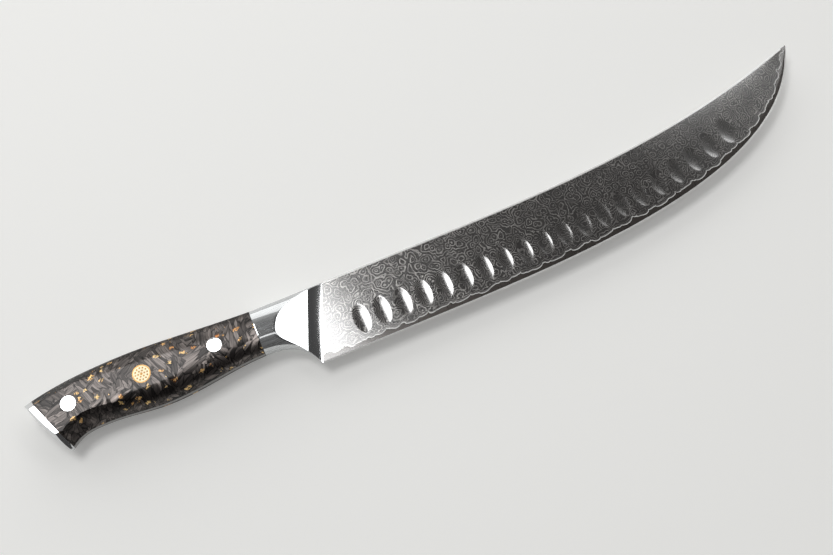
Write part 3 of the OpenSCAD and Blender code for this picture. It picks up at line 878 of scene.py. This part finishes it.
@material_named("pattern_welded_steel_etched")
def damascus(node, mm):
    """Pattern-welded steel, raindrop forged, ground and etched: pale contour rings on dark grey.

    The rings are the level lines of a field of drops about 4 mm apart, finer towards the tip. They bend
    round the hollows, because a hollow cuts down through the layers, and follow the cladding's border in
    the last two millimetres. The etch leaves a dull oxide on the dark layers, and the pale ones bright.
    Light and shade are painted in too: the pale rings fade to half on the hollows' floors as painted
    shade, and are dimmed through the middle of the blade as painted shade. The dark ground turns paler
    towards the tip as a painted reflection. The spine's eased corners carry a painted highlight, near
    white and hardly metallic, with no pattern, and a pale lip runs along the cladding's border. Over it
    all lies the thin glossy film that the last polish and the oil leave, which mirrors the lamps over pale
    and dark layers alike.
    """
    finish = settings().finish
    flat = node("VectorMath", [mm, (1, 1, 0)], operation="MULTIPLY")
    along = node("SeparateXYZ", [mm])
    finer = node("MapRange", [along, 0, 235, 0.98, 1.25])
    place = node("VectorMath", [flat, finer], operation="SCALE")
    place = pushed(node, place, node("TexNoise", [place, 1 / 6.5, 1.0]).outputs["Color"], 3.0)
    drops = node(
        "TexVoronoi",
        {"Vector": place, "Scale": 1 / 5.0, "Smoothness": 0.14},
        voronoi_dimensions="2D",
        feature="SMOOTH_F1",
    )
    ripple = node("TexNoise", [place, 1 / 3.4])
    depth = node("Attribute", attribute_name="hollow_depth").outputs["Fac"]
    border = node("Attribute", attribute_name="to_border").outputs["Fac"]
    # The spine's eased corners: a painted highlight, near white and hardly metallic.
    polish = node("Attribute", attribute_name="spine_highlight").outputs["Fac"]
    field = node("Math", [drops, 4.0], operation="MULTIPLY")
    field = node("Math", [ripple, 2.2, field], operation="MULTIPLY_ADD")
    field = node("Math", [depth, 9.0, field], operation="MULTIPLY_ADD")
    bands = node("Math", [border, 1.15, ripple], operation="MULTIPLY_ADD")
    along_border = node("MapRange", [border, 0.8, 2.6, 1.0, 0.0])
    field = node("Mix", [along_border, field, bands])
    phase = node("Math", [field, 2 * math.pi], operation="MULTIPLY")
    wave = node("Math", [phase], operation="SINE")
    lines = node("MapRange", [wave, 0.35, 0.85])
    patches = node("MapRange", [node("TexNoise", [flat, 1 / 7]), 0.38, 0.6, 0.45, 1.0])
    # Painted shade in the hollows: the pale lines fade to half on the deeper floors.
    hollow_floor_shade = node("MapRange", [depth, 0.04, 0.16, 1.0, 0.5])
    # Painted shade along the blade: the pale lines are full at the heel, dimmed to 0.58 through the
    # middle, and back to 0.95 near the tip.
    heel_half = node("MapRange", [along, 40, 110, 1.0, 0.58])
    tip_half = node("MapRange", [along, 150, 200, 0, 0.95])
    middle = node("Math", [heel_half, tip_half], operation="MAXIMUM")
    for fading in (patches, hollow_floor_shade, middle):
        lines = node("Math", [lines, fading], operation="MULTIPLY")
    # Near white where the pale lip runs along the cladding's border and where the spine's painted
    # highlight lies; there the metal drops by 0.4.
    lip = node("MapRange", [border, 0.22, 0.44, 1.0, 0.0])
    lip_and_spine_highlight = node("Math", [lip, polish], operation="MAXIMUM")
    bright = node("Math", [lines, lip_and_spine_highlight], operation="MAXIMUM")
    mottle = node("MapRange", [ripple, 0.3, 0.7])
    # Painted reflection: the dark ground turns paler grey over the last 85 mm to the tip.
    tip_reflection = node("MapRange", [along, 150, 235])
    tone = node("Mix", [mottle, finish.etched, linear("#2d2a27")], data_type="RGBA")
    tone = node("Mix", [tip_reflection, tone, linear("#5f5f5e")], data_type="RGBA")
    tone = node("Mix", [bright, tone, finish.bright], data_type="RGBA")
    tone = node("Mix", [lip_and_spine_highlight, tone, finish.honed], data_type="RGBA")
    metallic = node("MapRange", [bright, 0, 1, 0.4, 0.45])
    metallic = node("Math", [lip_and_spine_highlight, -0.4, metallic], operation="MULTIPLY_ADD")
    return {
        "Base Color": tone,
        "Metallic": metallic,
        "Roughness": node("MapRange", [bright, 0, 1, 0.32, 0.29]),
        "Coat Weight": 1.0,
        "Coat Roughness": 0.13,
        "Coat IOR": 2.35,
        "Normal": node("Bump", {"Strength": 0.25, "Distance": 0.01 * MM, "Height": lines}),
    }


def brushed(node, mm, tone, rough, grain, relief, metallic=1.0, film=0.0, vary=0.35):
    """A metal with fine streaks: noise stretched by grain varies the roughness and lifts the surface.

    The film is the glossy one that polish and oil leave. Where a piece says that a belt followed the
    wheel, the metal mirrors sharply, and hair lines too fine to see one by one scatter a share of light.
    """
    stretched = node("VectorMath", [mm, grain], operation="MULTIPLY")
    streaks = node("TexNoise", [stretched, 1 / 6, 3.0])
    cloud = node("TexNoise", [mm, 1 / 14, 1.0])
    both = node("Math", [cloud, 0.5, streaks], operation="MULTIPLY_ADD")
    rougher = node("MapRange", [both, 0.4, 1.1, rough * (1 - vary), rough * (1 + vary)])
    belt = node("Attribute", attribute_name="belt_polish").outputs["Fac"]
    scatter = node("MapRange", [streaks, 0.35, 0.65, 0.18, 0.36])
    hair_lines = node("Math", [belt, scatter], operation="MULTIPLY")
    return {
        "Base Color": tone,
        "Metallic": node("Math", [metallic, hair_lines], operation="SUBTRACT"),
        "Roughness": node("Math", [belt, -rough / 2, rougher], operation="MULTIPLY_ADD"),
        "Coat Weight": film,
        "Coat Roughness": 0.13,
        "Coat IOR": 2.4,
        "Normal": node("Bump", {"Strength": relief, "Distance": 0.01 * MM, "Height": streaks}),
    }


@material_named("high_carbon_steel_satin")
def core_steel(node, mm):
    """High-carbon steel, satin ground across the edge: a plain dark band with faint streaks."""
    tone = settings().finish.core
    return brushed(node, mm, tone, rough=0.32, grain=(14, 1.2, 1), relief=0.1, metallic=0.75, film=0.6)


@material_named("high_carbon_steel_honed_highlight")
def honed_highlight_steel(node, mm):
    """High-carbon steel, honed on fine stones, with the bevel's highlight painted in: near white and
    mostly matt.
    """
    tone = settings().finish.honed
    return brushed(node, mm, tone, rough=0.35, grain=(1, 10, 1), relief=0.05, metallic=0.25)


@material_named("stainless_steel_polished")
def polished_stainless(node, mm):
    """Forged stainless steel, polished on a soft wheel: a near mirror with faint lengthwise streaks."""
    tone = settings().finish.stainless
    return brushed(node, mm, tone, rough=0.115, grain=(0.7, 9, 9), relief=0.005, vary=0.06)


@material_named("stainless_rod_polished")
def pin_steel(node, mm):
    """Stainless rod, sanded flush and polished."""
    tone = settings().finish.stainless
    return brushed(node, mm, tone, rough=0.09, grain=(3, 3, 1), relief=0.02)


@material_named("stainless_tang_ground")
def tang_steel(node, mm):
    """Stainless tang, ground flush with the scales."""
    return brushed(node, mm, settings().finish.tang, rough=0.3, grain=(0.6, 8, 8), relief=0.2)


@material_named("brass_polished")
def brass_tube(node, mm):
    """Brass tube, polished flush."""
    tone = settings().finish.brass
    return brushed(node, mm, tone, rough=0.3, grain=(4, 4, 1), relief=0.1, metallic=0.6)


@material_named("bronze_rod_darkened")
def bronze_rod(node, mm):
    """Dark bronze rods, polished flush."""
    return brushed(node, mm, settings().finish.rod, rough=0.35, grain=(6, 6, 1), relief=0.1)


@material_named("epoxy_brass_powder")
def mosaic_fill(node, mm):
    """Epoxy with brass powder, polished flush: cream-gold with fine glitter."""
    grain = node("TexNoise", [mm, 1 / 0.25])
    paler = node("MapRange", [grain, 0.35, 0.65])
    tone = node("Mix", [paler, settings().finish.fill, linear("#eddcb4")], data_type="RGBA")
    glitter = node("MapRange", [grain, 0.3, 0.7, 0.0, 0.3])
    return {"Base Color": tone, "Metallic": glitter, "Roughness": 0.36}


def tow(node, place, turned, wide, long):
    """One layer of chopped tow: long chips, each of its own grey, streaked along its fibres.

    The chips are turned by some degrees, and their width and length are in millimetres. Returns the grey,
    from 0 in the dark gaps between chips to 1 on the palest streak, and each chip's own colour, which says
    how it lies.
    """
    angle = math.radians(turned)
    line_up = node("VectorRotate", {"Vector": place, "Angle": angle}, rotation_type="Z_AXIS")
    cells = node("VectorMath", [line_up, (1 / wide, 1 / long, 1 / (2 * wide))], operation="MULTIPLY")
    links = {"Vector": cells, "Scale": 1.0, "Randomness": 0.9}
    colour = node("TexVoronoi", links).outputs["Color"]
    own = node("MapRange", [node("SeparateXYZ", [colour]).outputs[1], 0.1, 0.95, 0.2, 1.0])
    stretched = node("VectorMath", [line_up, (1, 0.06, 0.5)], operation="MULTIPLY")
    fibres = node("TexNoise", [stretched, 1 / 0.5, 2.0, 0.6])
    streaks = node("MapRange", [fibres, 0.34, 0.66, 0.5, 1.0])
    grey = node("Math", [own, streaks], operation="MULTIPLY")
    gap = node("MapRange", [node("TexVoronoi", links, feature="DISTANCE_TO_EDGE"), 0.0, 0.09])
    return node("Math", [grey, gap], operation="MULTIPLY"), colour


@material_named("forged_carbon_gold_leaf")
def forged_carbon(node, mm):
    """Forged carbon: chopped tow in clear epoxy with gold and copper leaf, moulded, sanded and polished.

    Three layers of tow lie at different angles, and the top one changes from patch to patch. The tow
    shines like a dark metal where the light falls along it, and each chip lies a little tilted, so the
    sheen has no sharp border. The epoxy over it is clear and glossy. Leaf flakes are sparse small cells
    with ragged edges.
    """
    finish = settings().finish
    place = pushed(node, mm, node("TexNoise", [mm, 1 / 18, 1.0]).outputs["Color"], 9.0)
    patch = node("TexVoronoi", {"Vector": place, "Scale": 1 / 8.0})
    chooser = node("SeparateXYZ", [patch.outputs["Color"]])
    grey, lie = tow(node, place, 12, 1.3, 9.0)
    for limit, turned, wide, long in ((0.36, -24, 1.2, 10.0), (0.7, 64, 1.4, 9.0)):
        shows = node("Math", [chooser, limit], operation="GREATER_THAN")
        layer, layer_lie = tow(node, place, turned, wide, long)
        grey = node("Mix", [shows, grey, layer])
        lie = node("Mix", [shows, lie, layer_lie], data_type="RGBA")
    carbon = node("Mix", [grey, finish.resin, finish.chip], data_type="RGBA")
    cells = pushed(node, place, node("TexNoise", [mm, 1 / 0.7]).outputs["Color"], 2.2)
    cells = node("VectorMath", [cells, (0.75, 1.2, 1.0)], operation="MULTIPLY")
    leaf = node("TexVoronoi", {"Vector": cells, "Scale": 1 / 3.0})
    pick = node("SeparateXYZ", [leaf.outputs["Color"]])
    crowd = node("MapRange", [node("TexNoise", [mm, 1 / 20, 1.0]), 0.35, 0.6, 0.92, 0.6])
    chosen = node("Math", [pick, crowd], operation="GREATER_THAN")
    size = node("MapRange", [pick.outputs[1], 0, 1, 0.16, 0.5])
    inside = node("Math", [leaf, size], operation="LESS_THAN")
    whole = node("Math", [node("TexNoise", [mm, 1 / 0.9, 1.0]), 0.44], operation="GREATER_THAN")
    flake = node("Math", [chosen, inside], operation="MULTIPLY")
    flake = node("Math", [flake, whole], operation="MULTIPLY")
    crinkle = node("TexNoise", [mm, 1 / 0.6])
    warm = node("Math", [crinkle, 1.6, pick.outputs[2]], operation="MULTIPLY_ADD")
    warm = node("MapRange", [warm, 0.7, 1.5])
    metal = node("Mix", [warm, finish.copper, finish.gold], data_type="RGBA")
    raised = node("Math", [flake, crinkle], operation="MULTIPLY")
    bump = node("Bump", {"Strength": 0.5, "Distance": 0.05 * MM, "Height": raised})
    return {
        "Base Color": node("Mix", [flake, carbon, metal], data_type="RGBA"),
        "Metallic": node("MapRange", [flake, 0, 1, 0.96, 0.5]),
        "Roughness": node("MapRange", [crinkle, 0.3, 0.7, 0.4, 0.34]),
        "Specular Tint": (0.12, 0.12, 0.12),
        "Coat Weight": 0.4,
        "Coat Roughness": 0.3,
        "Coat IOR": 1.5,
        "Normal": node("VectorMath", [pushed(node, bump, lie, 0.3)], operation="NORMALIZE"),
    }


def floor_paint():
    """Matt pale paint: diffuse, and lifted for the camera and for mirror rays, so that it stays pale."""
    material = bpy.data.materials.new("matt_pale_paint")
    node = emptied(material)
    tone = settings().finish.floor
    path = node("LightPath")
    seen = path.outputs["Is Camera Ray"]
    for ray in ("Is Glossy Ray", "Is Transmission Ray"):
        seen = node("Math", [seen, path.outputs[ray]], operation="MAXIMUM")
    lift = node("Math", [seen, 0.3], operation="MULTIPLY")
    glow = node("Emission", {"Color": tone, "Strength": lift})
    both = node("AddShader", [node("BsdfDiffuse", {"Color": tone}), glow])
    node("OutputMaterial", {"Surface": both})
    return material


# Stage


def turn(thing, right, up, back):
    """Turns a camera or lamp so that its own X, Y and Z axes are right, up and back."""
    thing.rotation_mode = "QUATERNION"
    thing.rotation_quaternion = Matrix([right, up, back]).transposed().to_quaternion()


def set_camera():
    """The camera at the photograph's place: back, up and right axes from azimuth, elevation and roll."""
    studio = settings().studio
    data = bpy.data.cameras.new("camera")
    data.lens = data.sensor_width * studio.focal / studio.wide
    data.clip_start = 0.01
    data.clip_end = 20
    camera = bpy.data.objects.new("camera", data)
    bpy.context.scene.collection.objects.link(camera)
    a, e, r = studio.azimuth, studio.elevation, studio.roll
    back = np.array([math.sin(a) * math.cos(e), -math.cos(a) * math.cos(e), math.sin(e)])
    level_up = np.array([-math.sin(a) * math.sin(e), math.cos(a) * math.sin(e), math.cos(e)])
    level_right = np.cross(level_up, back)
    up = level_up * math.cos(r) + level_right * math.sin(r)
    turn(camera, np.cross(up, back), up, back)
    camera.location = studio.place
    bpy.context.scene.camera = camera


# Each softbox: name, centre, width, height, radiance, and its turn about the vertical if it hangs level
SOFTBOXES = (
    ("softbox_top", (-0.261, 0.438, 1.5), 0.6, 0.56, 8.0, 6),
    ("strip_edge", (0.27, -0.097, 1.18), 0.5, 0.12, 1.3, 0),
    ("softbox_cheek", (1.88, 0.09, 2.33), 0.5, 0.5, 4.5, None),
    ("softbox_far", (1.0, 0.82, 1.64), 0.5, 0.36, 3.0, None),
    ("softbox_back", (0.0, 1.1, 0.6), 1.6, 0.9, 0.9, None),
)


def set_lamps():
    """Softboxes round the knife, each as bright as its radiance times its area asks."""
    for name, centre, wide, tall, radiance, spin in SOFTBOXES:
        data = bpy.data.lights.new(name, "AREA")
        data.shape = "RECTANGLE"
        data.size, data.size_y = wide, tall
        data.energy = radiance * math.pi * wide * tall
        lamp = bpy.data.objects.new(name, data)
        bpy.context.scene.collection.objects.link(lamp)
        lamp.location = centre
        level = spin is not None
        back = Vector((0, 0, 1)) if level else Vector(centre).normalized()
        across = Vector((*direction(math.radians(spin or 0)), 0))
        right = (across - back * back.dot(across)).normalized()
        turn(lamp, right, back.cross(right), back)


def set_world():
    """A plain studio with a pale back wall and a dark ceiling, by the direction's Y and Z alone."""
    studio = settings().studio
    world = bpy.data.worlds.new("studio")
    bpy.context.scene.world = world
    node = emptied(world)
    axes = node("SeparateXYZ", [node("TexCoord").outputs["Generated"]])
    behind = node("Math", [axes.outputs[1], 0.8], operation="MULTIPLY")
    level = node("Math", [axes.outputs[2], -0.6, behind], operation="MULTIPLY_ADD")
    low = node("MapRange", [level, -0.4, 0.5], interpolation_type="SMOOTHSTEP")
    tone = node("Mix", [low, studio.world_high, studio.world_low], data_type="RGBA")
    node("OutputWorld", {"Surface": node("Background", {"Color": tone})})


class KNIFE_OT_stage(bpy.types.Operator):
    """Sets up the floor, the camera, the lamps and the world"""

    bl_idname = "knife.stage"
    bl_label = "Stage"

    def execute(self, context):
        context.scene.view_settings.view_transform = "Standard"
        low = CAD_BOX[0][2] - 0.05 * MM
        wide = 12.0
        points = [(-wide, -wide, low), (wide, -wide, low), (wide, wide, low), (-wide, wide, low)]
        floor = new_mesh("floor", points, [(0, 1, 2, 3)], [floor_paint()])
        set_camera()
        set_lamps()
        set_world()
        return {"FINISHED"}


class KNIFE_OT_blade(bpy.types.Operator):
    """Builds the core and the two claddings with their hollows"""

    bl_idname = "knife.blade"
    bl_label = "Blade"

    def execute(self, context):
        core = build_core()
        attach(core, "root")
        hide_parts("blade_core")
        for side in (1, -1):
            piece, node_name = build_cladding(side)
            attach(piece, "root")
            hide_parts(node_name)
        return {"FINISHED"}


class KNIFE_OT_bolster(bpy.types.Operator):
    """Builds the forged bolster"""

    bl_idname = "knife.bolster"
    bl_label = "Bolster"

    def execute(self, context):
        piece = build_bolster()
        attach(piece, "root")
        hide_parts("bolster")
        return {"FINISHED"}


class KNIFE_OT_scales(bpy.types.Operator):
    """Builds the two handle scales with their pin holes"""

    bl_idname = "knife.scales"
    bl_label = "Scales"

    def execute(self, context):
        for side in (1, -1):
            piece, node_name = build_scale(side)
            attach(piece, "root")
            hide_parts(node_name)
        return {"FINISHED"}


class KNIFE_OT_cap(bpy.types.Operator):
    """Builds the butt cap"""

    bl_idname = "knife.cap"
    bl_label = "Butt cap"

    def execute(self, context):
        piece = build_cap()
        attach(piece, "root")
        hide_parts("butt_cap")
        return {"FINISHED"}


class KNIFE_OT_pins(bpy.types.Operator):
    """Builds the front pin and dresses the frame's tang, rear pin and mosaic pin"""

    bl_idname = "knife.pins"
    bl_label = "Pins and tang"

    def execute(self, context):
        pin = build_front_pin()
        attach(pin, "root")
        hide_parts("front_pin")
        finishes = {
            "tang": tang_steel(),
            "rear_pin": pin_steel(),
            "mosaic_tube": brass_tube(),
            "mosaic_resin": mosaic_fill(),
            "mosaic_center_rod": bronze_rod(),
            "mosaic_inner_rods": bronze_rod(),
            "mosaic_outer_rods": bronze_rod(),
        }
        for name, material in finishes.items():
            node_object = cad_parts[name]
            for slot in node_object.material_slots:
                slot.material = material
        return {"FINISHED"}


class KNIFE_PT_panel(bpy.types.Panel):
    """Lists the pieces and the stage"""

    bl_idname = "KNIFE_PT_panel"
    bl_label = "Carving Knife"
    bl_space_type = "VIEW_3D"
    bl_region_type = "UI"
    bl_category = "Carving Knife"

    def draw(self, context):
        for operator in OPERATORS:
            self.layout.operator(operator.bl_idname)
        for group in ("blade", "hollows", "bolster", "handle", "finish", "studio"):
            box = self.layout.box()
            box.label(text=group.capitalize())
            values = getattr(context.scene.knife, group)
            for key in values.__annotations__:
                box.prop(values, key)


OPERATORS = (
    KNIFE_OT_stage,
    KNIFE_OT_blade,
    KNIFE_OT_bolster,
    KNIFE_OT_scales,
    KNIFE_OT_cap,
    KNIFE_OT_pins,
)
GROUPS = (BladeSizes, HollowSizes, BolsterSizes, HandleSizes, Finishes, Studio, KnifeSettings)
CLASSES = (*GROUPS, *OPERATORS, KNIFE_PT_panel)


def register():
    """Registers the classes and hangs the settings on the scene."""
    for item in CLASSES:
        bpy.utils.register_class(item)
    bpy.types.Scene.knife = PointerProperty(type=KnifeSettings)


def unregister():
    """Takes the settings and the classes away again."""
    del bpy.types.Scene.knife
    for item in reversed(CLASSES):
        bpy.utils.unregister_class(item)


def main():
    register()
    bpy.ops.knife.stage()
    bpy.ops.knife.blade()
    bpy.ops.knife.bolster()
    bpy.ops.knife.scales()
    bpy.ops.knife.cap()
    bpy.ops.knife.pins()
    bpy.context.view_layer.update()


if __name__ == "__main__":
    main()
